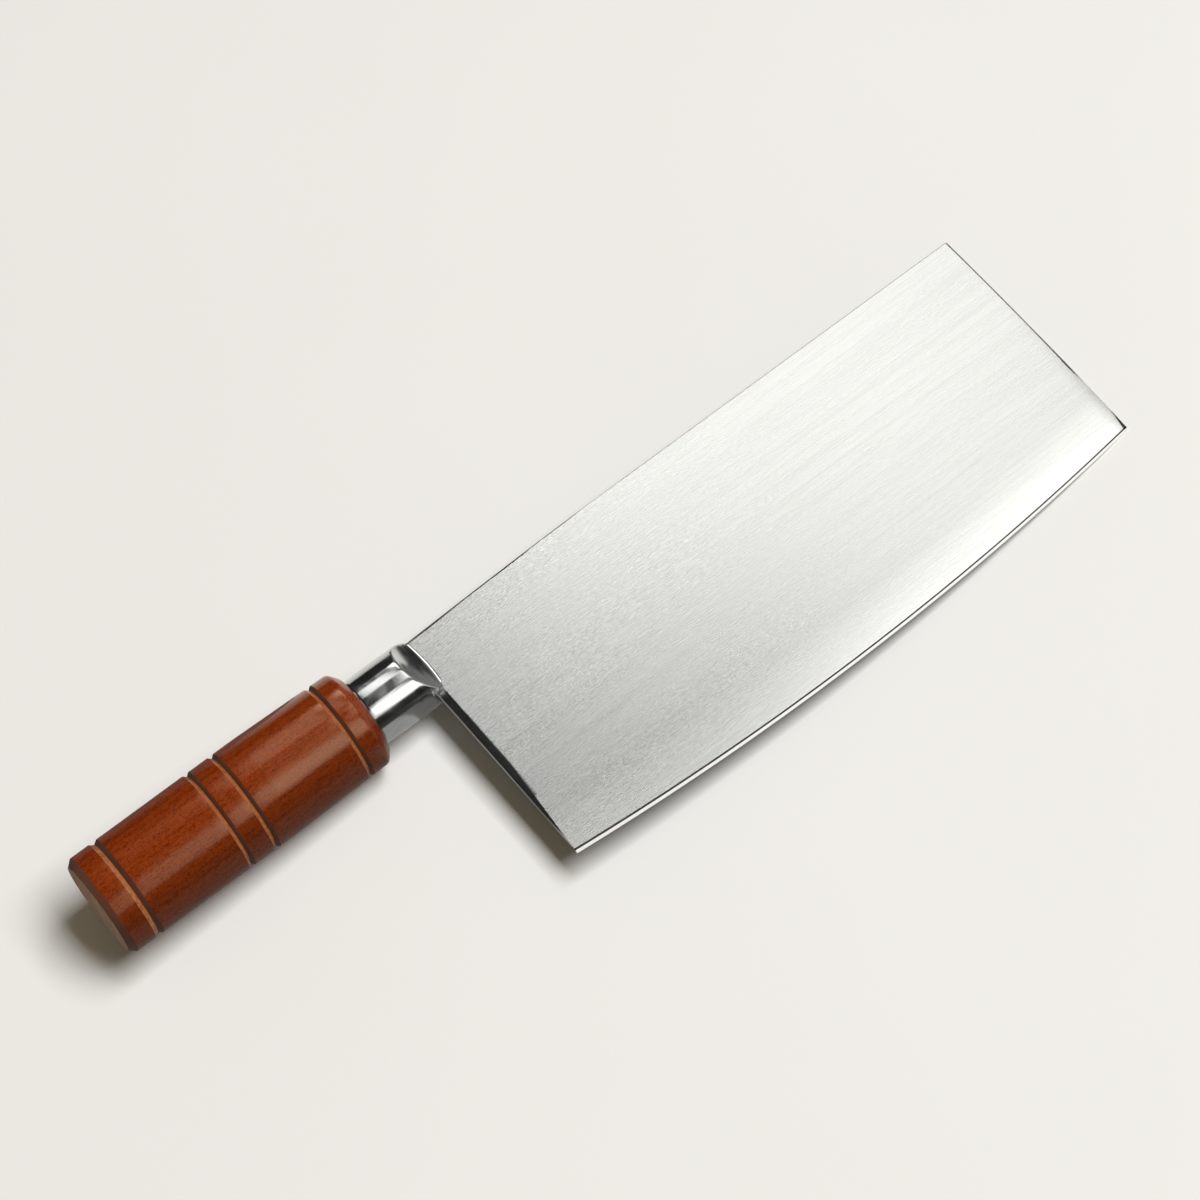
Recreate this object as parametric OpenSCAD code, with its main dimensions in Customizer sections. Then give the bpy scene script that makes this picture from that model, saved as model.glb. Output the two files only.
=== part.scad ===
// Chinese cleaver lying on its side: a thin oblong blade, a scooped collar and a turned wooden handle.
// The pieces are drawn along the handle's axis, with the butt at x = 0, the tip towards +x,
// the spine towards +y and the middle of the blade's thickness at z = 0.
// lay_down then rests the knife on z = 0, on the handle's front rim and the blade's tip,
// and puts the origin under the middle of the whole knife.

/* [Blade] */
// Length of the blade from its heel edge to the spine's tip corner
blade_len = 210.4; // [120:0.2:300]
// Height of the blade at the heel, from the cutting edge's corner up to the level of the spine
heel_height = 96.9; // [60:0.1:140]
// Height of the blade at the tip
tip_height = 92.5; // [60:0.1:140]
// How far the cutting edge bows out past the straight line between its corners
belly = 6.6; // [2:0.1:14]
// How far the spine's tip corner stands ahead of the edge's tip corner
tip_lean = 1; // [0:0.1:8]
// How far the tip bows out between its corners
tip_bulge = 0.5; // [0.1:0.1:3]
// Height of the spine above the handle's axis
spine_rise = 12.6; // [11.5:0.1:16]
// Drop of the spine where it runs down to the collar
spine_drop = 1.7; // [0.2:0.1:3]
// Length of the stretch in which the spine drops
spine_lead = 74; // [20:1:100]

/* [Blade thickness] */
// Thickness at the spine by the heel
spine_t = 2.6; // [2.2:0.05:4]
// Thickness at the spine by the tip
tip_t = 2.1; // [1.9:0.05:3]
// Thickness behind the cutting edge by the heel
edge_t = 0.95; // [0.7:0.05:1.3]
// Angle of each edge bevel from the middle of the blade
bevel_angle = 20; // [12:1:35]
// Width of the eased strip along the upper heel edge, where the finger rests
choil_w = 3; // [1:0.1:6]
// How far the eased strip falls from the blade's face at the heel edge
choil_drop = 0.5; // [0.1:0.05:0.7]
// Length of the heel edge, down from the axis, along which the eased strip keeps its width
choil_len = 46; // [15:1:52]

/* [Collar] */
// Diameter of the round barrel of the collar
collar_d = 22.7; // [21:0.1:23.5]
// Length of the collar from the wood to its mouth on the blade
collar_len = 23.8; // [20:0.1:40]
// Distance from the mouth back to where the scoop leaves the top of the barrel
scoop_len = 7.9; // [4:0.1:12]
// Radius of the hollow of each scoop
scoop_r = 34; // [15:1:80]
// How far the collar's lip stands proud of the blade's face
lip_proud = 0.3; // [0.1:0.05:1]
// Radius of the mouth's rounded corner on the spine side
spine_corner_r = 2.5; // [1:0.1:5]
// Radius of the mouth's rounded corner on the edge side
heel_corner_r = 4.5; // [1:0.1:6]
// How far the blade's heel edge sits behind the mouth
heel_set = 3.3; // [1:0.1:5]

/* [Joint inside the collar] */
// Depth that the collar is let into each face of the blade
seat_step = 0.1; // [0.05:0.05:0.25]
// Length of the blade's neck behind the heel edge
neck_len = 11; // [5:0.5:12]
// Height of the blade's neck
neck_h = 13; // [6:0.5:16]
// Metal left between the end of the neck's pocket and the end of the tang's socket
collar_web = 1.5; // [1:0.1:3]
// Clearance around brazed and glued pieces
seat_gap = 0.05; // [0.02:0.01:0.1]

/* [Handle] */
// Length of the wooden handle
handle_len = 98.5; // [92:0.5:140]
// Diameter of the handle's barrel
handle_d = 34; // [28:0.2:42]
// Diameter of the front rim, where the taper ends
front_rim_d = 32.4; // [27:0.2:34]
// Length of the tapered stretch ahead of the front rim
taper_len = 34; // [15:1:50]
// Diameter of the flat end of the butt
butt_face_d = 30.1; // [20:0.1:32]
// Length of the chamfer at the butt
butt_chamfer = 2.15; // [1:0.05:5]
// Diameter of the flat front face of the wood
front_face_d = 26; // [24:0.1:31]
// Length of the chamfer at the front
front_chamfer = 2.5; // [1:0.1:4]

/* [Turned grooves] */
// Distance of the butt groove from the butt
butt_groove = 10.3; // [8:0.1:20]
// Distance of the middle of the paired grooves from the butt
pair_groove = 49.2; // [35:0.1:60]
// Distance between the two paired grooves
pair_pitch = 9.2; // [5:0.1:16]
// Distance of the front groove from the front face
front_groove = 9.25; // [6:0.1:16]
// Width of the butt groove
butt_groove_w = 3; // [1.5:0.1:4]
// Width of the other grooves
groove_w = 2.3; // [1:0.1:4]
// Depth of the grooves
groove_depth = 1; // [0.4:0.1:2]

/* [Tang] */
// Diameter of the round tang
tang_d = 8; // [5:0.5:10]
// Length of the tang inside the wood
tang_reach = 66; // [35:1:80]
// Thickness of the resin around the tang
resin_wall = 1; // [0.5:0.1:2]
// Depth of the resin behind the end of the tang
resin_end = 3; // [1:0.5:8]

/* [Hidden] */
$fn = 96;

// Reach of the blocks that only cut something away, and how far cuts run past a face
far = 2 * (blade_len + heel_height);
cut = 1;

// Stations along the axis
mouth_x = handle_len + collar_len;
heel_x = mouth_x - heel_set;
tip_x = heel_x + blade_len;
neck_x = heel_x - neck_len;
socket_x = neck_x - seat_gap - collar_web;
tang_x = handle_len - tang_reach;
bore_x = tang_x - resin_end;
rim_x = handle_len - front_chamfer;

// Corners of the blade's outline
heel_y = spine_rise - heel_height;
tip_y = spine_rise - tip_height;
edge_tip_x = tip_x - tip_lean;

// The tip's line bows out, and reaches furthest ahead part of the way up to the spine
function tip_bow(u) = 4 * tip_bulge * u * (1 - u);
bow_u = min(1, 0.5 + tip_lean / (8 * tip_bulge));
reach_x = edge_tip_x + tip_lean * bow_u + tip_bow(bow_u);

// The cutting edge is an arc through the heel corner and the tip's edge corner
edge_chord = [edge_tip_x - heel_x, tip_y - heel_y];
edge_chord_len = norm(edge_chord);
edge_dir = edge_chord / edge_chord_len;
edge_r = edge_chord_len^2 / (8 * belly) + belly / 2;
edge_centre = [heel_x, heel_y] + edge_chord / 2 + [-edge_dir.y, edge_dir.x] * (edge_r - belly);

// Each face of the blade is a plane that falls towards the edge and the tip
fall_x = (spine_t - tip_t) / 2 / blade_len;
fall_y = (spine_t - edge_t) / 2 / heel_height;
function half_t(x, y) = spine_t / 2 - fall_x * (x - heel_x) - fall_y * (spine_rise - y);

// Thickness of the seat that the collar and its pocket close on
collar_r = collar_d / 2;
seat_half = half_t(heel_x, -collar_r) - seat_step;
lip_half = half_t(heel_x, spine_rise) + lip_proud;

// Pose of the knife at rest: it leans on the front rim and on the tip
roll = atan(fall_y);
tip_low = half_t(reach_x, spine_rise) * cos(roll) - spine_rise * sin(roll);
pitch = atan((front_rim_d / 2 - tip_low) / (reach_x - rim_x));
rest_z = rim_x * sin(pitch) + front_rim_d / 2 * cos(pitch);
back_x = -butt_face_d / 2 * sin(pitch);
front_x = reach_x * cos(pitch) + half_t(reach_x, spine_rise) * sin(pitch);
belly_y = (edge_centre.y - edge_r) * cos(roll);
middle = [(back_x + front_x) / 2, (handle_d / 2 + belly_y) / 2];

module lay_down() {
    translate([-middle.x, -middle.y, rest_z])
        rotate([roll, pitch, 0])
            children();
}

// A round bar along x
module bar(d, from, to) {
    translate([from, 0, 0])
        rotate([0, 90, 0])
            cylinder(d = d, h = to - from);
}

// A block whose underside is the plane through a point p with the given slopes along x and y
module block_over(p, slope_x, slope_y) {
    lean = -atan(slope_x);
    translate(p)
        rotate([atan(slope_y * cos(lean)), lean, 0])
            translate([-far, -far, 0])
                cube([2 * far, 2 * far, 4 * spine_t]);
}

// Blade outline

function spine_y(u) = spine_rise - spine_drop * (1 - u)^1.5;
function spine_curve(n) = [for (i = [n:-1:0]) [heel_x + spine_lead * i / n, spine_y(i / n)]];
function tip_curve(n) = [
    for (i = [0:n])
        let (u = i / n)
            [edge_tip_x + tip_lean * u + tip_bow(u), tip_y + tip_height * u]
];

// The outline runs on below the edge, where the bevelled disc cuts it
module outline() {
    skirt_y = heel_y - belly - cut;
    polygon(concat(
        [[neck_x, -neck_h / 2], [heel_x, -neck_h / 2], [heel_x, skirt_y], [edge_tip_x, skirt_y]],
        tip_curve(12),
        spine_curve(16),
        [[heel_x, neck_h / 2], [neck_x, neck_h / 2]]
    ));
}

// A disc with a rim of two bevels that meet at the cutting edge
module bevelled_disc() {
    depth = 2 * spine_t / tan(bevel_angle);
    translate([edge_centre.x, edge_centre.y, 0])
        rotate_extrude($fn = 720)
            polygon([
                [0, -2 * spine_t],
                [edge_r - depth, -2 * spine_t],
                [edge_r, 0],
                [edge_r - depth, 2 * spine_t],
                [0, 2 * spine_t]
            ]);
}

// What is ground off one face to ease the heel edge: a strip of even width, then a narrowing one
module choil_grind() {
    slope_in = choil_drop / choil_w;
    break_z = half_t(heel_x, -choil_len) - choil_drop;
    corner_z = half_t(heel_x, heel_y);
    p = [heel_x, -choil_len, break_z];
    intersection() {
        block_over(p, slope_in, fall_y);
        block_over(p, slope_in, (break_z - corner_z) / (-choil_len - heel_y));
        translate([heel_x - cut, heel_y - belly - cut, 0])
            cube([choil_w + 2 * cut, heel_height + belly + cut - spine_rise - collar_r, spine_t]);
    }
}

// Plan of the collar's mouth end, grown by a clearance
module mouth_plan(gap) {
    near_x = mouth_x - max(spine_corner_r, heel_corner_r);
    translate([0, -collar_r - gap])
        square([near_x, collar_d + 2 * gap]);
    translate([0, heel_corner_r - collar_r])
        square([mouth_x + gap, collar_d - spine_corner_r - heel_corner_r]);
    mouth_corner(spine_corner_r, 1, gap);
    mouth_corner(heel_corner_r, -1, gap);
}

// One rounded corner of the mouth and the straight bit behind it, on the +y or the -y side
module mouth_corner(r, side, gap) {
    near_x = mouth_x - max(spine_corner_r, heel_corner_r);
    middle_y = side * (collar_r - r);
    translate([mouth_x - r, middle_y])
        circle(r = r + gap);
    translate([near_x - cut, side > 0 ? middle_y : middle_y - r - gap])
        square([mouth_x - r - near_x + cut, r + gap]);
}

module blade() {
    color([0.86, 0.87, 0.87])
        lay_down()
            difference() {
                intersection() {
                    translate([0, 0, -spine_t])
                        linear_extrude(2 * spine_t)
                            outline();
                    bevelled_disc();
                }
                for (side = [0, 1])
                    mirror([0, 0, side]) {
                        block_over([heel_x, spine_rise, spine_t / 2], -fall_x, fall_y);
                        choil_grind();
                        translate([0, 0, seat_half])
                            linear_extrude(spine_t)
                                mouth_plan(seat_gap);
                    }
            }
}

// One hollow cutter: its wall passes through the top of the barrel and the lip of the mouth
module scoop() {
    lip = [mouth_x, lip_half];
    top = [mouth_x - scoop_len, collar_r];
    span = norm(top - lip);
    away = [top.y - lip.y, lip.x - top.x] / span;
    centre = (lip + top) / 2 + away * sqrt(scoop_r^2 - span^2 / 4);
    translate([centre.x, 0, centre.y])
        rotate([90, 0, 0])
            cylinder(r = scoop_r, h = 2 * collar_d, center = true, $fn = 180);
}

module collar() {
    color([0.78, 0.79, 0.8])
        lay_down()
            difference() {
                intersection() {
                    bar(collar_d, handle_len, mouth_x);
                    translate([0, 0, -collar_d])
                        linear_extrude(2 * collar_d)
                            mouth_plan(0);
                }
                for (side = [0, 1])
                    mirror([0, 0, side])
                        scoop();
                translate([heel_x, -collar_d, -seat_half - seat_gap])
                    cube([heel_set + cut, 2 * collar_d, 2 * (seat_half + seat_gap)]);
                translate([neck_x - seat_gap, -neck_h / 2 - seat_gap, -seat_half - seat_gap])
                    cube([neck_len + 2 * seat_gap, neck_h + 2 * seat_gap, 2 * (seat_half + seat_gap)]);
                bar(tang_d + 2 * seat_gap, handle_len - cut, socket_x);
            }
}

module tang_rod() {
    color([0.55, 0.56, 0.57])
        lay_down()
            bar(tang_d, tang_x, socket_x - seat_gap);
}

module tang_resin() {
    color([0.72, 0.6, 0.38])
        lay_down()
            difference() {
                bar(tang_d + 2 * resin_wall, bore_x, handle_len - seat_gap);
                bar(tang_d + 2 * seat_gap, tang_x - seat_gap, handle_len);
            }
}

// Radius of the barrel before the grooves are turned
function barrel_r(x) =
    let (u = max(0, (x - rim_x + taper_len) / taper_len))
        handle_d / 2 - (handle_d - front_rim_d) / 2 * u;
function groove(x, w) = [
    [barrel_r(x - w / 2), x - w / 2],
    [barrel_r(x) - groove_depth, x],
    [barrel_r(x + w / 2), x + w / 2]
];

// Half section of the turned handle, as radius and distance from the butt
module handle_section() {
    taper_x = rim_x - taper_len;
    polygon(concat(
        [[0, 0], [butt_face_d / 2, 0], [handle_d / 2, butt_chamfer]],
        groove(butt_groove, butt_groove_w),
        groove(pair_groove - pair_pitch / 2, groove_w),
        groove(pair_groove + pair_pitch / 2, groove_w),
        taper_x > pair_groove + pair_pitch / 2 + groove_w ? [[handle_d / 2, taper_x]] : [],
        groove(handle_len - front_groove, groove_w),
        [[front_rim_d / 2, rim_x], [front_face_d / 2, handle_len], [0, handle_len]]
    ));
}

module handle() {
    color([0.52, 0.25, 0.12])
        lay_down()
            difference() {
                rotate([0, 90, 0])
                    rotate_extrude()
                        handle_section();
                bar(tang_d + 2 * (resin_wall + seat_gap), bore_x - seat_gap, handle_len + cut);
            }
}

blade();
collar();
tang_rod();
tang_resin();
handle();
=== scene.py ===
import math
import bpy
from mathutils import Euler, Matrix, Vector


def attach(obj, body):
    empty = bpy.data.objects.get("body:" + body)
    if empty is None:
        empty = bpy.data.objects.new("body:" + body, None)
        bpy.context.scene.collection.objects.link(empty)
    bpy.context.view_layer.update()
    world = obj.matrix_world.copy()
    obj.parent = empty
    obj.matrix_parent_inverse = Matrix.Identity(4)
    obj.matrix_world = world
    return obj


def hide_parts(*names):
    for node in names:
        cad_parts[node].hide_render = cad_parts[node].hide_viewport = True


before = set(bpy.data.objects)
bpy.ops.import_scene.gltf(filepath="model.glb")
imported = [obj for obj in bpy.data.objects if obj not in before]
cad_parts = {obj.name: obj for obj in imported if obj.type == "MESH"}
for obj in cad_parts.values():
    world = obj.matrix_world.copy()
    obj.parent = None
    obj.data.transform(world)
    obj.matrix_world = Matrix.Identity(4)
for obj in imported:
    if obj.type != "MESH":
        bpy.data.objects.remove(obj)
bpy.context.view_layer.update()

# Blade
# One thin sheet of stainless steel, ground flat on both sides to a wedge, with a short double bevel
# honed along the bowed edge. The heel is eased for the finger, and a flat neck runs into the collar.
mm = 0.001
handle_len = 98.5 * mm
collar_len = 23.8 * mm
collar_r = 11.35 * mm
mouth_x = handle_len + collar_len
blade_len = 210.4 * mm
heel_height = 96.9 * mm
tip_height = 92.5 * mm
belly = 6.6 * mm
tip_lean = 1.0 * mm
tip_bulge = 0.5 * mm
spine_rise = 12.6 * mm
spine_drop = 1.7 * mm
spine_lead = 74 * mm
spine_t = 2.6 * mm
tip_t = 2.1 * mm
edge_t = 0.95 * mm
bevel_slope = math.tan(math.radians(20))
burr_t = 0.02 * mm
whet_len = 17 * mm
choil_w = 2.75 * mm
choil_len = 46 * mm
choil_rim_half = 0.1 * mm
end_wear = 0.16 * mm
end_wear_w = 4 * mm
end_chamfer_w = 0.55 * mm
neck_len = 11 * mm
neck_h = 13 * mm
seat_step = 0.1 * mm
heel_x = mouth_x - 3.3 * mm
tip_x = heel_x + blade_len
edge_tip_x = tip_x - tip_lean
heel_corner = Vector((heel_x, spine_rise - heel_height))
tip_corner = Vector((edge_tip_x, spine_rise - tip_height))
chord = tip_corner - heel_corner
edge_r = chord.length**2 / (8 * belly) + belly / 2
edge_mid = heel_corner + chord / 2 + Vector((-chord.y, chord.x)).normalized() * (edge_r - belly)
fall_x = (spine_t - tip_t) / 2 / blade_len
fall_y = (spine_t - edge_t) / 2 / heel_height
spine_corner_r = 2.5 * mm
heel_corner_r = 4.5 * mm

# Pieces are made along the handle's axis: x from the butt to the tip, y up to the spine, z out of the face.
# At rest that axis leans down towards the tip and a little over towards the edge.
knife_at = Vector((-163.95558, 35.9397, 22.42439)) * mm
knife_turn = Euler((math.radians(0.4878006), math.radians(3.7381319), 0))
knife_pose = Matrix.Translation(knife_at) @ knife_turn.to_matrix().to_4x4()


def place(name, verts, faces, marks, sharp_angle, material):
    """Makes a mesh with its painted marks and sets it down with the knife, in its node's place."""
    mesh = bpy.data.meshes.new(name)
    mesh.from_pydata(verts, [], faces)
    mesh.transform(knife_pose)
    for mark, values in marks.items():
        mesh.attributes.new(mark, "FLOAT", "POINT").data.foreach_set("value", values)
    mesh.shade_smooth()
    mesh.set_sharp_from_angle(angle=math.radians(sharp_angle))
    mesh.validate()
    mesh.materials.append(material)
    piece = bpy.data.objects.new(name, mesh)
    bpy.context.scene.collection.objects.link(piece)
    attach(piece, "root")
    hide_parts(name)
    return piece


def add(tree, kind, inputs=None, **settings):
    """Adds a node, with links or plain values for its inputs, and returns it."""
    node = tree.nodes.new("ShaderNode" + kind)
    for key, value in settings.items():
        setattr(node, key, value)
    for key, value in (inputs or {}).items():
        if isinstance(value, bpy.types.NodeSocket):
            tree.links.new(value, node.inputs[key])
        else:
            node.inputs[key].default_value = value
    return node


def knife_coords(tree):
    """Coordinates along the knife's own axes, however it lies."""
    coords = add(tree, "TexCoord").outputs["Object"]
    inputs = {"Vector": coords, "Location": knife_at, "Rotation": knife_turn}
    return add(tree, "Mapping", inputs, vector_type="TEXTURE").outputs[0]


def finish_for(name, even):
    """A new material with the even values of its finish set on the shader itself."""
    material = bpy.data.materials.new(name)
    material.use_nodes = True
    tree = material.node_tree
    principled = tree.nodes["Principled BSDF"]
    for key, value in even.items():
        principled.inputs[key].default_value = value
    return material, tree, principled


def ramp(tree, value, stops):
    """Turns a value into a colour along the given stops."""
    node = add(tree, "ValToRGB", {"Fac": value})
    elements = node.color_ramp.elements
    while len(elements) < len(stops):
        elements.new(0.5)
    for element, (at, colour) in zip(elements, stops):
        element.position = at
        element.color = (*colour, 1)
    return node.outputs["Color"]


def span(tree, value, from_min, from_max, to_min, to_max):
    """Stretches one range of values to another and holds it at both ends."""
    node = add(tree, "MapRange", {"Value": value, 1: from_min, 2: from_max, 3: to_min, 4: to_max})
    return node.outputs["Result"]


def calc(tree, operation, a, b=0.0, clamp=False):
    return add(tree, "Math", {0: a, 1: b}, operation=operation, use_clamp=clamp).outputs[0]


def stretched_noise(tree, coords, per_metre, detail, roughness):
    """Noise with its own number of cells for each metre along x, y and z."""
    laid = add(tree, "Mapping", {"Vector": coords, "Scale": per_metre})
    inputs = {"Vector": laid.outputs[0], "Scale": 1.0, "Detail": detail, "Roughness": roughness}
    return add(tree, "TexNoise", inputs).outputs["Fac"]


def effect_group(name, inputs, outputs):
    """A node group for an effect that more than one finish uses, with its sockets' inner ends."""
    group = bpy.data.node_groups.new(name, "ShaderNodeTree")
    for label, kind, value in inputs:
        socket = group.interface.new_socket(label, in_out="INPUT", socket_type="NodeSocket" + kind)
        if value is not None:
            socket.default_value = value
    for label, kind in outputs:
        group.interface.new_socket(label, in_out="OUTPUT", socket_type="NodeSocket" + kind)
    return group, group.nodes.new("NodeGroupInput").outputs, group.nodes.new("NodeGroupOutput").inputs


def use_group(tree, group, inputs):
    return add(tree, "Group", inputs, node_tree=group).outputs


# Lengthwise scratches of a belt, as a height and as light and dark streaks
brushing, given, told = effect_group(
    "brushing",
    [("Coords", "Vector", None), ("Length", "Float", 0.02), ("Width", "Float", 0.0003)],
    [("Height", "Float"), ("Streaks", "Float"), ("Cloud", "Float")],
)
along = calc(brushing, "DIVIDE", 1.0, given["Length"])
across = calc(brushing, "DIVIDE", 1.0, given["Width"])
cells = add(brushing, "CombineXYZ", {"X": along, "Y": across, "Z": across}).outputs[0]
laid = add(brushing, "VectorMath", {0: given["Coords"], 1: cells}, operation="MULTIPLY").outputs[0]
fine = add(brushing, "TexNoise", {"Vector": laid, "Scale": 1.0, "Detail": 3.0, "Roughness": 0.6})
broad = add(brushing, "TexNoise", {"Vector": laid, "Scale": 0.16, "Detail": 2.0, "Roughness": 0.5})
spread = {"Vector": given["Coords"], "Scale": 45.0, "Detail": 2.0, "Roughness": 0.5}
cloud = add(brushing, "TexNoise", spread)
brushing.links.new(fine.outputs["Fac"], told["Height"])
fine_part = calc(brushing, "MULTIPLY", fine.outputs["Fac"], 0.6)
broad_part = calc(brushing, "MULTIPLY", broad.outputs["Fac"], 0.4)
brushing.links.new(calc(brushing, "ADD", fine_part, broad_part), told["Streaks"])
brushing.links.new(cloud.outputs["Fac"], told["Cloud"])


def blade_finish():
    material, tree, principled = finish_for("satin_steel", {})
    coords = knife_coords(tree)
    grind = use_group(tree, brushing, {"Coords": coords, "Length": 0.016, "Width": 0.00035})
    speck = stretched_noise(tree, coords, (2200, 2800, 2800), 1.0, 0.6)
    reach = add(tree, "SeparateXYZ", {"Vector": coords}).outputs["X"]
    fade = span(tree, reach, 0.14, 0.25, 1.0, 0.08)
    streaks = calc(tree, "MULTIPLY", grind["Streaks"], 0.4)
    tone = calc(tree, "ADD", streaks, calc(tree, "MULTIPLY", speck, 0.9))
    tone = calc(tree, "MULTIPLY", calc(tree, "SUBTRACT", tone, 0.65), fade)
    # Towards the edge the steel is painted lighter: a painted sheen
    painted_edge_sheen = add(tree, "Attribute", attribute_name="whetted_and_sheen").outputs["Fac"]
    tone = calc(tree, "ADD", tone, calc(tree, "MULTIPLY", painted_edge_sheen, 0.3))
    tone = calc(tree, "ADD", tone, 0.4)
    steel = ramp(tree, tone, [(0.0, (0.2, 0.202, 0.196)), (1.0, (0.75, 0.752, 0.744))])
    line = add(tree, "Attribute", attribute_name="shoulder").outputs["Fac"]
    honed_highlight = add(tree, "Attribute", attribute_name="honed_highlight").outputs["Fac"]
    polished = add(tree, "Attribute", attribute_name="polished").outputs["Fac"]
    rim = add(tree, "Attribute", attribute_name="rim").outputs["Fac"]
    # Along the bevel's shoulder the steel is painted near black: painted shade, standing for the dark that
    # the shoulder reflects
    dark = add(tree, "Mix", {0: line, 6: steel, 7: (0.05, 0.05, 0.046, 1)}, data_type="RGBA")
    # On the bevel the colour is painted near white and most of the metal is taken out: a painted highlight,
    # on a honed bevel that is really a little rougher
    bright = add(tree, "Mix", {0: honed_highlight, 6: dark.outputs[2], 7: (0.84, 0.84, 0.82, 1)}, data_type="RGBA")
    tree.links.new(bright.outputs[2], principled.inputs["Base Color"])
    rough = span(tree, grind["Streaks"], 0.3, 0.7, 0.25, 0.29)
    rough = calc(tree, "ADD", rough, calc(tree, "MULTIPLY", honed_highlight, 0.08))
    rough = calc(tree, "SUBTRACT", rough, calc(tree, "MULTIPLY", polished, 0.03))
    rough = calc(tree, "ADD", rough, calc(tree, "MULTIPLY", rim, 0.42))
    tree.links.new(rough, principled.inputs["Roughness"])
    metal = calc(tree, "SUBTRACT", 1.0, calc(tree, "MULTIPLY", honed_highlight, 0.9))
    metal = calc(tree, "SUBTRACT", metal, calc(tree, "MULTIPLY", rim, 0.5))
    tree.links.new(metal, principled.inputs["Metallic"])
    height = calc(tree, "MULTIPLY", grind["Height"], calc(tree, "SUBTRACT", 1.0, polished))
    height = calc(tree, "MULTIPLY", height, fade)
    bump = add(tree, "Bump", {"Height": height, "Strength": 0.22, "Distance": 0.00001})
    tree.links.new(bump.outputs[0], principled.inputs["Normal"])
    return material


def wedge(x, y):
    """Half of the sheet's thickness before any edge is worked."""
    return spine_t / 2 - fall_x * (x - heel_x) - fall_y * (spine_rise - y)


seat_half = wedge(heel_x, -collar_r) - seat_step


def edge_y(x):
    return edge_mid.y - math.sqrt(edge_r**2 - (x - edge_mid.x) ** 2)


def spine_y(x):
    u = min(1.0, (x - heel_x) / spine_lead)
    return spine_rise - spine_drop * (1 - u) ** 1.5


def tip_line(y):
    v = min(1.0, max(0.0, (y - tip_corner.y) / tip_height))
    return edge_tip_x + tip_lean * v + 4 * tip_bulge * v * (1 - v)


def whet_drop(x):
    """Whetting takes more off where the sheet is thicker, which keeps the bevel even."""
    return 0.55 * (wedge(x, edge_y(x)) - wedge(tip_x, tip_corner.y))


def bevel_width(x):
    return (wedge(x, edge_y(x)) - whet_drop(x) - burr_t) / (bevel_slope - fall_y)


def whetted_and_sheen(x, y):
    """The strip along the edge that whetting has rounded down, from 1 at its edge to 0. The steel is also
    painted lighter along it: a painted sheen.
    """
    return max(0.0, 1 - (y - edge_y(x) - bevel_width(x)) / whet_len)


def choil_width(y):
    """Width of the eased strip at the heel: even at first, then narrowing to nothing at the corner."""
    run = (y - heel_corner.y) / (-choil_len - heel_corner.y)
    return choil_w * min(1.0, max(0.06, run))


def rounded(s):
    """How far an eased edge has fallen, from 1 at its rim to 0 at its inner line."""
    t = 1 - min(1.0, s)
    return 0.75 * t + 0.25 * (1 - math.sqrt(max(0.0, 1 - t * t)))


def inside_mouth(x, y):
    """How deep a point lies inside the plan of the collar's mouth, or less than nothing outside it."""
    r = spine_corner_r if y > 0 else heel_corner_r
    return r - math.hypot(max(x - (mouth_x - r), 0), max(abs(y) - (collar_r - r), 0))


def half_thickness(x, y):
    """Half of the finished sheet's thickness, with its heel, spine, end and seat in the collar worked."""
    h = wedge(x, y) - whet_drop(x) * min(1.0, whetted_and_sheen(x, y)) ** 2
    strip = choil_width(y)
    if x - heel_x < strip and y < spine_y(x) - 2 * mm:
        h -= 0.85 * (h - choil_rim_half) * rounded((x - heel_x) / strip)
    from_spine = spine_y(x) - y
    lead = max(0.0, 1 - (x - heel_x) / spine_lead)
    spine_strip = (0.12 + 0.75 * lead**0.8) * mm
    if from_spine < spine_strip:
        h -= (0.3 + 0.2 * lead) * spine_strip * (1 - from_spine / spine_strip)
    from_tip = tip_line(y) - x
    low = max(0.0, 1 - (y - tip_corner.y) / (0.7 * tip_height))
    if from_tip < end_wear_w:
        h -= end_wear * low * (1 - from_tip / end_wear_w) ** 2
    if from_tip < end_chamfer_w:
        h -= 0.7 * (end_chamfer_w - from_tip) * min(1.0, max(0.0, 2.5 * (0.62 - low)))
    if inside_mouth(x, y) > 0.5 * mm:
        h = min(h, seat_half)
    return max(h, burr_t)


# Rows run along the blade and columns across it, closest together where an edge is worked
bevel_rows = (0, 0.1, 0.5, 0.86, 0.95, 1.0, 1.15, 1.4, 1.65, 1.9)
shoulder_row = 5
field_rows = 44
spine_rows = (2.0, 1.2, 0.9, 0.6, 0.35, 0.15, 0)
heel_columns = (0, 0.02, 0.06, 0.12, 0.2, 0.3, 0.42, 0.56, 0.7, 0.85, 1.0)
near_columns = (2.95, 3.4, 4, 5)
field_columns = 90
tip_columns = (4, 3, 2, 1.2, 0.8, 0.55, 0.3, 0.12, 0)


def row_y(j, x):
    low, high = edge_y(x), spine_y(x)
    if j < len(bevel_rows):
        return low + bevel_rows[j] * bevel_width(x)
    j -= len(bevel_rows)
    if j < field_rows:
        return low + 2 * mm + (high - low - 5 * mm) * j / (field_rows - 1)
    return high - spine_rows[j - field_rows] * mm


def column_x(i, y):
    if i < len(heel_columns):
        return heel_x + heel_columns[i] * choil_width(y)
    i -= len(heel_columns)
    if i < len(near_columns):
        return heel_x + near_columns[i] * mm
    i -= len(near_columns)
    start, stop = heel_x + 6 * mm, tip_line(y) - 5 * mm
    if i < field_columns:
        return start + (stop - start) * i / (field_columns - 1)
    return tip_line(y) - tip_columns[i - field_columns] * mm


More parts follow.
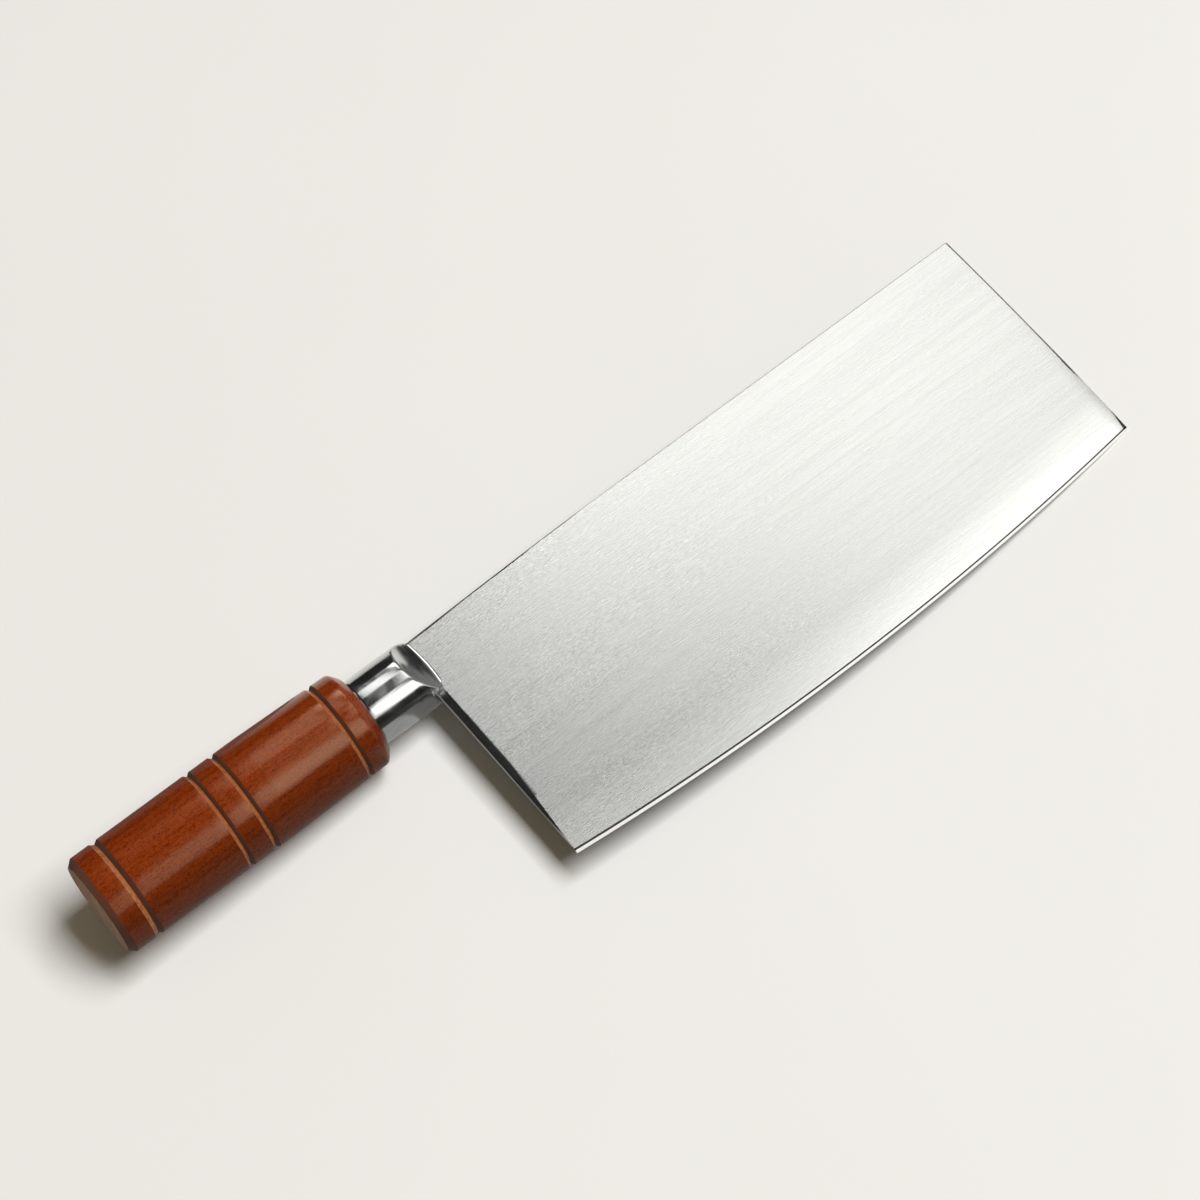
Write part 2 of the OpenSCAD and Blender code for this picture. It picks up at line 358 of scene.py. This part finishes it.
rows = len(bevel_rows) + field_rows + len(spine_rows)
columns = len(heel_columns) + len(near_columns) + field_columns + len(tip_columns)
verts, faces = [], []
marks = {"honed_highlight": [], "shoulder": [], "polished": [], "whetted_and_sheen": [], "rim": []}
for side in (1, -1):
    for i in range(columns):
        for j in range(rows):
            # A row's height depends on x and a column's place on y, so two rounds settle both
            x = column_x(i, row_y(j, column_x(i, row_y(j, heel_x))))
            y = row_y(j, x)
            h = half_thickness(x, y)
            if j <= shoulder_row:
                depth = edge_r - math.hypot(x - edge_mid.x, y - edge_mid.y)
                h = min(h, burr_t + depth * bevel_slope)
            verts.append((x, y, side * h))
            # Marks: a painted highlight on the bevel, painted shade along its shoulder, a painted sheen
            # towards the edge, then the heel's rim and its polished strip
            marks["honed_highlight"].append(1.0 if j < shoulder_row else 0.0)
            marks["shoulder"].append(1.0 if shoulder_row <= j <= shoulder_row + 3 else 0.0)
            marks["whetted_and_sheen"].append(min(1.0, whetted_and_sheen(x, y)))
            marks["rim"].append(1.0 if i < 3 else 0.0)
            marks["polished"].append(1.0 if x - heel_x < 0.99 * choil_width(y) else 0.0)
under = columns * rows
last = (columns - 1) * rows
for i in range(columns - 1):
    for j in range(rows - 1):
        a = i * rows + j
        faces.append((a, a + rows, a + rows + 1, a + 1))
        faces.append((under + a + 1, under + a + rows + 1, under + a + rows, under + a))
    low, high = i * rows, i * rows + rows - 1
    faces.append((low, under + low, under + low + rows, low + rows))
    faces.append((high, high + rows, under + high + rows, under + high))
for j in range(rows - 1):
    faces.append((j, j + 1, under + j + 1, under + j))
    faces.append((last + j, under + last + j, under + last + j + 1, last + j + 1))

# The neck is let into the collar behind the heel
start = len(verts)
for x in (heel_x - neck_len, heel_x + 0.5 * mm):
    for y, z in ((-1, -1), (1, -1), (1, 1), (-1, 1)):
        verts.append((x, y * neck_h / 2, z * seat_half))
        for values in marks.values():
            values.append(0.0)
for quad in ((3, 2, 1, 0), (4, 5, 6, 7), (0, 1, 5, 4), (1, 2, 6, 5), (2, 3, 7, 6), (3, 0, 4, 7)):
    faces.append(tuple(start + k for k in quad))
place("blade", verts, faces, marks, 12, blade_finish())


# Collar
# A round barrel of chrome-plated steel with a hollow scooped out of each face down to two rounded
# lips, which close on the blade and are brazed to it. Its flat end stands on the wood.
scoop_len = 7.9 * mm
scoop_r = 34 * mm
lip_half = wedge(heel_x, spine_rise) + 0.3 * mm
bead_r = 0.5 * mm
lip_ease = 0.25 * mm
lip_round = 0.45
crown_drop = 0.1 * mm
crown_len = 8 * mm
mouth_bow = 1.0 * mm
mouth_len = 8 * mm
per_quarter = 50
socket_r = 4.05 * mm
socket_x = 106.45 * mm
lip = Vector((mouth_x, lip_half))
rim = Vector((mouth_x - scoop_len, collar_r))
away = Vector((rim.y - lip.y, lip.x - rim.x)).normalized()
hollow = (lip + rim) / 2 + away * math.sqrt(scoop_r**2 - (rim - lip).length_squared / 4)


def chrome_finish():
    material, tree, principled = finish_for("chrome_plate", {"Metallic": 1.0})
    coords = knife_coords(tree)
    smear = add(tree, "TexNoise", {"Vector": coords, "Scale": 160.0, "Detail": 3.0, "Distortion": 0.6})
    wave = add(tree, "TexNoise", {"Vector": coords, "Scale": 130.0, "Detail": 1.0})
    plate = ramp(tree, smear.outputs["Fac"], [(0.35, (0.6, 0.605, 0.6)), (0.65, (0.72, 0.725, 0.72))])
    tree.links.new(plate, principled.inputs["Base Color"])
    tree.links.new(span(tree, smear.outputs["Fac"], 0.35, 0.7, 0.11, 0.19), principled.inputs["Roughness"])
    bump = add(tree, "Bump", {"Height": wave.outputs["Fac"], "Strength": 0.3, "Distance": 0.00006})
    tree.links.new(bump.outputs[0], principled.inputs["Normal"])
    return material


def plan_half(x, side):
    """Half of the mouth's height at x, towards the spine or towards the edge."""
    r = spine_corner_r if side > 0 else heel_corner_r
    dx = max(0.0, x - (mouth_x - r))
    return collar_r - r + math.sqrt(max(0.0, r * r - dx * dx))


def crown(x):
    """The polished barrel falls away by a hair towards its ends."""
    return crown_drop * min(1.0, abs(x - (handle_len + crown_len)) / crown_len) ** 3


def face_half(x):
    """Half of the collar's thickness at x, down the scoop and over the lip's bead."""
    if x < mouth_x - scoop_len - 1.5 * mm:
        return 2 * collar_r
    scooped = hollow.y - math.sqrt(scoop_r**2 - (x - hollow.x) ** 2)
    from_bead = abs(x - (mouth_x - bead_r))
    if from_bead < bead_r:
        return max(scooped - lip_ease, lip_half - 0.1 * mm + math.sqrt(bead_r**2 - from_bead**2))
    return scooped - lip_ease * max(0.0, 1 - (mouth_x - x) / (3 * mm))


def softly(a, b):
    """The lesser of two reaches, with the corner between them eased."""
    power = 30
    return (a**-power + b**-power) ** (-1 / power)


def collar_ring(x, inset):
    """Points round the collar at x, quarter by quarter, closest together where it turns quickly."""
    top = face_half(x) - inset
    points = []
    for quarter in range(4):
        fine = []
        for k in range(361):
            angle = math.radians(90 * quarter + k / 4)
            c, s = math.sin(angle), math.cos(angle)
            half = plan_half(x, 1 if quarter < 2 else -1) - inset
            reach = softly(collar_r - inset - crown(x), top / max(abs(s), 0.001))
            if half < collar_r - inset - 0.001 * mm:
                reach = softly(reach, half / max(abs(c), 0.001))
            fine.append(Vector((reach * c, reach * s)))
        steps = [b - a for a, b in zip(fine, fine[1:])]
        turns = [a.angle(b, 0.0) for a, b in zip(steps, steps[1:])] + [0.0]
        measure = [0.0]
        for step, turn in zip(steps, turns):
            measure.append(measure[-1] + step.length + turn * 2 * mm)
        k = 0
        for n in range(per_quarter):
            goal = measure[-1] * n / per_quarter
            while measure[k + 1] < goal:
                k += 1
            at = fine[k].lerp(fine[k + 1], (goal - measure[k]) / (measure[k + 1] - measure[k]))
            ahead = max(0.0, x - (mouth_x - mouth_len)) / mouth_len
            points.append((x + mouth_bow * ahead**2 * (1 - (at.x / collar_r) ** 2), at.x, at.y))
    return points


# Rings of the collar from the wood to the mouth, each with how far its rounded end is drawn in
stations = [(handle_len, 0.25 * mm), (handle_len + 0.07 * mm, 0.1 * mm), (handle_len + 0.25 * mm, 0.0)]
stations += [(handle_len + k * mm, 0.0) for k in (1, 3, 6, 9, 12, 13.4)]
stations += [(mouth_x - scoop_len + (k / 5 - 2) * mm, 0.0) for k in range(28)]
for back in [4.3 - 0.3 * k for k in range(11)] + [1.05, 0.8, 0.6, 0.45, 0.33, 0.22, 0.13, 0.06, 0.02, 0]:
    d = max(0.0, lip_round - back)
    stations.append((mouth_x - back * mm, (lip_round - math.sqrt(lip_round**2 - d * d)) * mm))
around = 4 * per_quarter
verts, faces = [], []
for x, inset in stations:
    verts += collar_ring(x, inset)
for x in (handle_len, socket_x):
    verts += [(x, socket_r * math.sin(math.tau * k / around), socket_r * math.cos(math.tau * k / around))
              for k in range(around)]
rings = [k * around for k in range(len(stations))]
socket = len(stations) * around
for a, b in list(zip(rings, rings[1:])) + [(socket + around, socket)]:
    for k in range(around):
        n = (k + 1) % around
        faces.append((a + k, b + k, b + n, a + n))
for k in range(around):
    n = (k + 1) % around
    faces.append((socket + k, k, n, socket + n))
faces.append([rings[-1] + k for k in reversed(range(around))])
faces.append([socket + around + k for k in range(around)])
place("collar", verts, faces, {}, 35, chrome_finish())


# Handle
# One turned piece of reddish hardwood with V-shaped grooves, sanded and lacquered. The wood is bored
# from the front for the tang, and its butt shows the end grain with the marks of turning.
handle_r = 17 * mm
butt_face_r = 15.05 * mm
butt_chamfer = 2.15 * mm
butt_groove_w = 3 * mm
groove_w = 2.3 * mm
groove_deep = 1.0 * mm
taper_x = 62 * mm
front_rim_r = 16.2 * mm
front_face_r = 13 * mm
front_chamfer = 2.5 * mm
taper_len = 34 * mm
bore_r = 5.05 * mm
bore_x = 29.45 * mm
around = 180
rim_x = handle_len - front_chamfer


def barrel_r(x):
    """Radius of the wood before its grooves: even, then tapering towards the collar."""
    return handle_r - (handle_r - front_rim_r) * max(0.0, (x - rim_x + taper_len) / taper_len)


def wood_finish():
    even = {"IOR": 1.75, "Specular IOR Level": 0.5, "Specular Tint": (1.0, 0.78, 0.54, 1)}
    material, tree, principled = finish_for("lacquered_hardwood", even)
    coords = knife_coords(tree)
    warp = stretched_noise(tree, coords, (14, 60, 60), 2.0, 0.5)
    apart = add(tree, "SeparateXYZ", {"Vector": coords})
    dy = calc(tree, "ADD", apart.outputs["Y"], 0.04)
    dz = calc(tree, "ADD", apart.outputs["Z"], 0.01)
    squares = calc(tree, "ADD", calc(tree, "MULTIPLY", dy, dy), calc(tree, "MULTIPLY", dz, dz))
    ring = calc(tree, "SQRT", squares)
    ring = calc(tree, "ADD", ring, calc(tree, "MULTIPLY", warp, 0.006))
    laid = add(tree, "CombineXYZ", {"X": calc(tree, "MULTIPLY", ring, 520.0)})
    along_rings = {"Vector": laid.outputs[0], "Scale": 1.0, "Detail": 3.0, "Roughness": 0.6}
    bands = add(tree, "TexNoise", along_rings)
    mottle = stretched_noise(tree, coords, (450, 1000, 1000), 3.0, 0.6)
    fibre = stretched_noise(tree, coords, (160, 3000, 3000), 2.0, 0.6)
    speck = stretched_noise(tree, coords, (1800, 2600, 2600), 1.0, 0.6)
    turning = stretched_noise(tree, coords, (3600, 90, 90), 1.0, 0.5)
    pores = stretched_noise(tree, coords, (700, 2200, 2200), 1.0, 0.5)
    tone = calc(tree, "MULTIPLY", bands.outputs["Fac"], 0.36)
    tone = calc(tree, "ADD", tone, calc(tree, "MULTIPLY", mottle, 0.3))
    tone = calc(tree, "ADD", tone, calc(tree, "MULTIPLY", fibre, 0.2))
    tone = calc(tree, "ADD", tone, calc(tree, "MULTIPLY", calc(tree, "SUBTRACT", speck, 0.22), 0.5))
    wood = ramp(tree, tone, [
        (0.38, (0.092, 0.0085, 0.0004)),
        (0.5, (0.162, 0.019, 0.0008)),
        (0.62, (0.255, 0.036, 0.002)),
    ])
    # The wood is painted darker towards its lower side on the side of the edge: painted shade
    painted_low_shade = span(tree, ring, 0.03, 0.048, 0.5, 1.0)
    depth = add(tree, "CombineColor", {0: painted_low_shade, 1: painted_low_shade, 2: painted_low_shade}).outputs[0]
    shaded = add(tree, "Mix", {0: 1.0, 6: wood, 7: depth}, data_type="RGBA", blend_type="MULTIPLY")
    wood = shaded.outputs[2]
    pore = span(tree, pores, 0.63, 0.72, 0.0, 0.6)
    flecked = add(tree, "Mix", {0: pore, 6: wood, 7: (0.035, 0.008, 0.003, 1)}, data_type="RGBA")
    # The groove wall that faces the lamp is painted lighter tan: partly lighter raw wood, partly painted
    # light
    raw_and_lit = add(tree, "Attribute", attribute_name="raw_and_lit").outputs["Fac"]
    raw_and_lit_patches = calc(tree, "MULTIPLY", raw_and_lit, span(tree, mottle, 0.35, 0.6, 0.45, 1.0))
    cut = add(tree, "Mix", {0: raw_and_lit_patches, 6: flecked.outputs[2], 7: (0.36, 0.12, 0.04, 1)}, data_type="RGBA")
    # The groove's floor, its wall away from the lamp and the butt's chamfer are painted dark: painted
    # shade. They are rougher there as well
    dark = add(tree, "Attribute", attribute_name="painted_shade").outputs["Fac"]
    painted_shade = add(tree, "Mix", {0: dark, 6: cut.outputs[2], 7: (0.06, 0.014, 0.006, 1)}, data_type="RGBA")
    sawn = add(tree, "Attribute", attribute_name="sawn").outputs["Fac"]
    arcs = calc(tree, "MULTIPLY", bands.outputs["Fac"], 0.7)
    arcs = calc(tree, "ADD", arcs, calc(tree, "MULTIPLY", mottle, 0.3))
    grain = ramp(tree, arcs, [(0.36, (0.19, 0.085, 0.045)), (0.64, (0.46, 0.28, 0.18))])
    ended = add(tree, "Mix", {0: sawn, 6: painted_shade.outputs[2], 7: grain}, data_type="RGBA")
    tree.links.new(ended.outputs[2], principled.inputs["Base Color"])
    rough = calc(tree, "ADD", span(tree, mottle, 0.3, 0.7, 0.17, 0.23), calc(tree, "MULTIPLY", sawn, 0.4))
    rough = calc(tree, "ADD", rough, calc(tree, "MULTIPLY", dark, 0.35))
    tree.links.new(rough, principled.inputs["Roughness"])
    height = calc(tree, "SUBTRACT", calc(tree, "MULTIPLY", fibre, 0.2), calc(tree, "MULTIPLY", pore, 0.4))
    height = calc(tree, "ADD", height, calc(tree, "MULTIPLY", turning, 0.2))
    height = calc(tree, "ADD", height, calc(tree, "MULTIPLY", speck, 0.25))
    bump = add(tree, "Bump", {"Height": height, "Strength": 0.5, "Distance": 0.00003})
    tree.links.new(bump.outputs[0], principled.inputs["Normal"])
    return material


def groove(x, width):
    left, right = x - width / 2, x + width / 2
    return [
        (left, barrel_r(left), 0.2, "left"),
        (x, barrel_r(x) - groove_deep, 0.1, "low"),
        (right, barrel_r(right), 0.2, "right"),
    ]


# Corners of the half section from the middle of the butt to the end of the bore: place, radius, easing
# in mm and a label for those that carry a mark
section = [(0, 0, 0, ""), (0, butt_face_r, 0.4, "butt"), (butt_chamfer, handle_r, 0.6, "ring")]
section += groove(10.3 * mm, butt_groove_w) + groove(44.6 * mm, groove_w) + groove(53.8 * mm, groove_w)
section += [(taper_x, handle_r, 3.0, "")] + groove(89.25 * mm, groove_w)
section += [(rim_x, front_rim_r, 2.2, ""), (handle_len, front_face_r, 1.2, ""), (handle_len, bore_r, 0, "")]
section += [(bore_x, bore_r, 0, ""), (bore_x, 0, 0, "")]
profile = []
for before, corner, after in zip(section, section[1:], section[2:]):
    at = Vector(corner[:2])
    back = (Vector(before[:2]) - at).normalized()
    ahead = (Vector(after[:2]) - at).normalized()
    turn = math.pi - back.angle(ahead)
    cut_back = corner[2] * mm * math.tan(turn / 2)
    if cut_back == 0:
        profile.append((at, 0.0, 0.0, 0.0))
        continue
    for k in range(7):
        u = k / 6
        point = at + back * cut_back * (1 - u) ** 2 + ahead * cut_back * u**2
        # The groove wall that faces the lamp is marked for painted light on lighter wood; the groove's
        # floor, the far wall and the butt's chamfer are marked for painted shade
        raw_and_lit = corner[3] == "left" and k > 3 or corner[3] == "low" and k < 2
        painted_shade = corner[3] == "low" and k >= 2 or corner[3] == "right" and k < 3
        shaded = 0.75 if corner[3] == "butt" and k > 2 or corner[3] == "ring" and k < 4 else 0.0
        sawn = 1.0 if corner[3] == "butt" and k < 3 else 0.0
        profile.append((point, 1.0 if raw_and_lit else 0.0, 1.0 if painted_shade else shaded, sawn))

# Rings along the section, with its long straight runs cut into short ones
lined = [(Vector((0, 0.5 * mm)), 0.0, 0.0, 1.0)]
for ahead in profile:
    behind = lined[-1]
    gap = (ahead[0] - behind[0]).length
    pieces = max(1, round(gap / (2.5 * mm)))
    for k in range(1, pieces):
        between = behind[0].lerp(ahead[0], k / pieces)
        on_butt = between.x < 0.01 * mm
        lined.append((between, 0.0, 0.0, 1.0 if on_butt else 0.0))
    lined.append(ahead)
lined.append((Vector((bore_x, 0.5 * mm)), 0.0, 0.0, 0.0))
verts, faces = [], []
marks = {"raw_and_lit": [], "painted_shade": [], "sawn": []}
for point, raw_and_lit, painted_shade, sawn in lined:
    for k in range(around):
        angle = math.tau * k / around
        verts.append((point.x, point.y * math.sin(angle), point.y * math.cos(angle)))
        marks["raw_and_lit"].append(raw_and_lit)
        marks["painted_shade"].append(painted_shade)
        marks["sawn"].append(sawn)
for a in range(len(lined) - 1):
    for k in range(around):
        n = (k + 1) % around
        faces.append((a * around + k, (a + 1) * around + k, (a + 1) * around + n, a * around + n))
faces.append(list(range(around)))
faces.append([(len(lined) - 1) * around + k for k in reversed(range(around))])
place("handle", verts, faces, marks, 50, wood_finish())


# Tang
# A plain round bar of mild steel from the collar into the bore of the wood, with the marks of drawing.
# It is hidden in use, and keeps the shape of its construction node.
material, tree, principled = finish_for("drawn_steel", {"Metallic": 1.0})
coords = knife_coords(tree)
drawn = use_group(tree, brushing, {"Coords": coords, "Length": 0.03, "Width": 0.0005})
steel = ramp(tree, drawn["Streaks"], [(0.3, (0.25, 0.25, 0.25)), (0.7, (0.42, 0.42, 0.42))])
tree.links.new(steel, principled.inputs["Base Color"])
tree.links.new(span(tree, drawn["Cloud"], 0.3, 0.7, 0.34, 0.5), principled.inputs["Roughness"])
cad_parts["tang_rod"].material_slots[0].material = material


# Resin
# Amber resin poured round the tang, which fills the bore and holds the wood to the steel.
# It is hidden too, and keeps the shape of its construction node.
material, tree, principled = finish_for("amber_resin", {"Coat Weight": 0.3})
coords = knife_coords(tree)
flow = add(tree, "TexNoise", {"Vector": coords, "Scale": 140.0, "Detail": 3.0, "Distortion": 1.0})
resin = ramp(tree, flow.outputs["Fac"], [(0.35, (0.38, 0.2, 0.06)), (0.65, (0.55, 0.34, 0.13))])
tree.links.new(resin, principled.inputs["Base Color"])
tree.links.new(span(tree, flow.outputs["Fac"], 0.3, 0.7, 0.2, 0.32), principled.inputs["Roughness"])
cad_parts["tang_resin"].material_slots[0].material = material


# Floor
# A pale matt table that reaches out of every view and takes the knife's shadow.
material, tree, principled = finish_for("pale_table", {"Specular IOR Level": 0.1})
coords = add(tree, "TexCoord").outputs["Object"]
paper = add(tree, "TexNoise", {"Vector": coords, "Scale": 6.0, "Detail": 2.0})
table = ramp(tree, paper.outputs["Fac"], [(0.3, (0.848, 0.846, 0.83)), (0.7, (0.86, 0.858, 0.842))])
tree.links.new(table, principled.inputs["Base Color"])
principled.inputs["Roughness"].default_value = 0.8
table_r = 6
around = 64
verts = [(0, 0, 0)]
for k in range(around):
    angle = math.tau * k / around
    verts.append((table_r * math.cos(angle), table_r * math.sin(angle), 0))
mesh = bpy.data.meshes.new("table")
mesh.from_pydata(verts, [], [(0, 1 + k, 1 + (k + 1) % around) for k in range(around)])
mesh.materials.append(material)
table = bpy.data.objects.new("table", mesh)
bpy.context.scene.collection.objects.link(table)


# Lamps and reflections
# One large soft box hangs high in front, to the tip's side, and lights everything. White and dark
# boards that only reflections see stand for the rest of the room, and give the metal its bands.
# Those laid flat on the table are painted shade on it, as reflections see it
def facing(at):
    """Turns a flat thing at this place to face the knife, with its width along the knife."""
    out = Vector(at).normalized()
    wide = (Vector((1, 0, 0)) - out * out.x).normalized()
    turned = Matrix((wide, out.cross(wide), out)).transposed().to_4x4()
    turned.translation = at
    return turned


light = bpy.data.lights.new("soft_box", "AREA")
light.shape = "RECTANGLE"
light.size = 3.7
light.size_y = 6.0
light.energy = 15.6 * math.pi * light.size * light.size_y
lamp = bpy.data.objects.new("soft_box", light)
lamp.location = (3.8, -3.54, 7.8)
lamp.visible_camera = False
lamp.visible_glossy = False
bpy.context.scene.collection.objects.link(lamp)


def board(name, corners, grey):
    """A flat glowing board that only reflections see."""
    mesh = bpy.data.meshes.new(name)
    mesh.from_pydata(corners, [], [(0, 1, 2, 3)])
    material = bpy.data.materials.new(name)
    material.use_nodes = True
    tree = material.node_tree
    tree.nodes.clear()
    glow = add(tree, "Emission", {"Color": (1.0, 1.0, 0.97, 1), "Strength": grey})
    add(tree, "OutputMaterial", {"Surface": glow.outputs[0]})
    mesh.materials.append(material)
    card = bpy.data.objects.new(name, mesh)
    card.visible_camera = False
    card.visible_diffuse = False
    card.visible_shadow = False
    card.visible_transmission = False
    bpy.context.scene.collection.objects.link(card)


def faced(at, wide, deep):
    turned = facing(at)
    signs = ((-1, -1), (1, -1), (1, 1), (-1, 1))
    return [turned @ Vector((x * wide / 2, y * deep / 2, 0)) for x, y in signs]


def overhead(x0, x1, y0, y1, z):
    return [(x0, y0, z), (x1, y0, z), (x1, y1, z), (x0, y1, z)]


low_z = 0.0006
board("white_behind", overhead(0.33, 0.66, 0.42, 1.0, 1.0), 3.1)
board("white_behind_heel", overhead(0.24, 0.33, 0.66, 1.0, 1.0), 6.8)
board("white_behind_edge", overhead(0.1, 0.168, 0.12, 0.64, 1.0), 2.3)
board("white_above", overhead(0.2, 0.75, -0.42, 0.2, 1.01), 1.5)
board("white_ahead", faced((0.294, -0.9, 0.86), 0.292, 0.92), 1.9)
board("white_ahead_near", faced((0.1265, -0.9, 0.86), 0.043, 0.56), 2.8)
board("white_ahead_edge", faced((0.085, -0.9, 0.86), 0.04, 0.56), 1.4)
board("white_ahead_end", faced((-0.0175, -0.9, 0.86), 0.165, 0.56), 0.3)
board("dark_ahead_high", overhead(-1.0, 0.148, -0.9, -0.5, 1.2), 0.02)
board("dark_above", overhead(-1.0, 0.2, -0.5, 1.0, 1.02), 0.015)
board("dark_beyond", overhead(0.2, 2.2, -0.9, 1.0, 1.03), 0.03)
# The boards laid on the table take its place in reflections, darker than the lit table: painted shade on
# the table beside and under the knife, as the metal and wood reflect it
board("dark_low", overhead(-0.35, 0.35, -1.3, -0.03, low_z), 0.04)
board("dark_low_heel", overhead(-0.044, 0.02, -0.03, 0.035, low_z), 0.05)
board("grey_low", overhead(-0.067, -0.053, -0.03, 0.03, low_z), 0.37)
board("grey_low_heel", overhead(-0.053, -0.044, -0.03, 0.035, low_z), 0.16)
board("grey_low_butt", overhead(-0.35, -0.067, -0.03, 0.03, low_z), 0.18)
board("grey_low_behind", overhead(-0.35, -0.075, 0.03, 0.4, low_z), 0.14)
board("grey_far_behind", overhead(-0.6, 0.0, 0.4, 0.99, low_z), 0.1)
board("dark_low_behind", overhead(0.002, 1.7, 0.056, 0.99, low_z), 0.03)


# Walls of boards round the table, which close the room for reflections
behind_y = 1.0
behind_top = 1.15
ahead_y = -1.3
ahead_top = 0.58


def wall_behind(x0, x1, z0):
    return [(x0, behind_y, z0), (x1, behind_y, z0), (x1, behind_y, behind_top), (x0, behind_y, behind_top)]


def wall_ahead(x0, x1):
    return [(x0, ahead_y, 0.0), (x1, ahead_y, 0.0), (x1, ahead_y, ahead_top), (x0, ahead_y, ahead_top)]


def wall_aside(x, top):
    return [(x, ahead_y, 0.0), (x, behind_y, 0.0), (x, behind_y, top), (x, ahead_y, top)]


board("grey_behind_butt", wall_behind(-1.5, -0.3, 0.0), 0.4)
board("dark_behind_butt", wall_behind(-0.3, 0.0, 0.0), 0.02)
board("dark_behind", wall_behind(0.0, 0.5, 0.09), 0.02)
board("dark_behind_tip", wall_behind(0.5, 0.8, 0.0), 0.02)
board("grey_behind_tip", wall_behind(0.8, 1.8, 0.0), 0.4)
board("dark_ahead", wall_ahead(-0.45, 0.6), 0.02)
board("grey_ahead_butt", wall_ahead(-1.5, -0.45), 0.4)
board("grey_ahead_tip", wall_ahead(0.6, 1.7), 0.4)
board("grey_butt_side", wall_aside(-0.9, 1.6), 0.45)
board("grey_tip_side", wall_aside(1.7, 1.1), 0.45)

world = bpy.data.worlds.new("room")
bpy.context.scene.world = world
world.use_nodes = True
tree = world.node_tree
tree.nodes.clear()
soft = add(tree, "Background", {"Color": (1.0, 0.86, 0.6, 1), "Strength": 0.145})
pale = add(tree, "Background", {"Color": (0.85, 0.845, 0.82, 1), "Strength": 1.0})
path = add(tree, "LightPath")
seen = calc(tree, "ADD", path.outputs["Is Camera Ray"], path.outputs["Is Glossy Ray"])
seen = calc(tree, "ADD", seen, path.outputs["Is Transmission Ray"], clamp=True)
room = add(tree, "MixShader", {0: seen, 1: soft.outputs[0], 2: pale.outputs[0]})
add(tree, "OutputWorld", {"Surface": room.outputs[0]})

# Camera
# It looks down on the knife from in front, turned a little so that the knife lies across the frame.
lens = bpy.data.cameras.new("camera")
lens.sensor_width = 36
lens.lens = 213.72
lens.clip_end = 20
camera = bpy.data.objects.new("camera", lens)
look = Vector((0.10876, 0.55484, -0.82482)).normalized()
level = Vector((-look.y, look.x, 0)).normalized() * -1
over = level.cross(look)
roll = math.radians(-29.243)
right = level * math.cos(roll) + over * math.sin(roll)
up = over * math.cos(roll) - level * math.sin(roll)
turned = Matrix((right, up, -look)).transposed().to_4x4()
turned.translation = (-0.221138, -1.164004, 1.769122)
camera.matrix_world = turned
bpy.context.scene.collection.objects.link(camera)
bpy.context.scene.camera = camera
bpy.context.scene.view_settings.view_transform = "Standard"
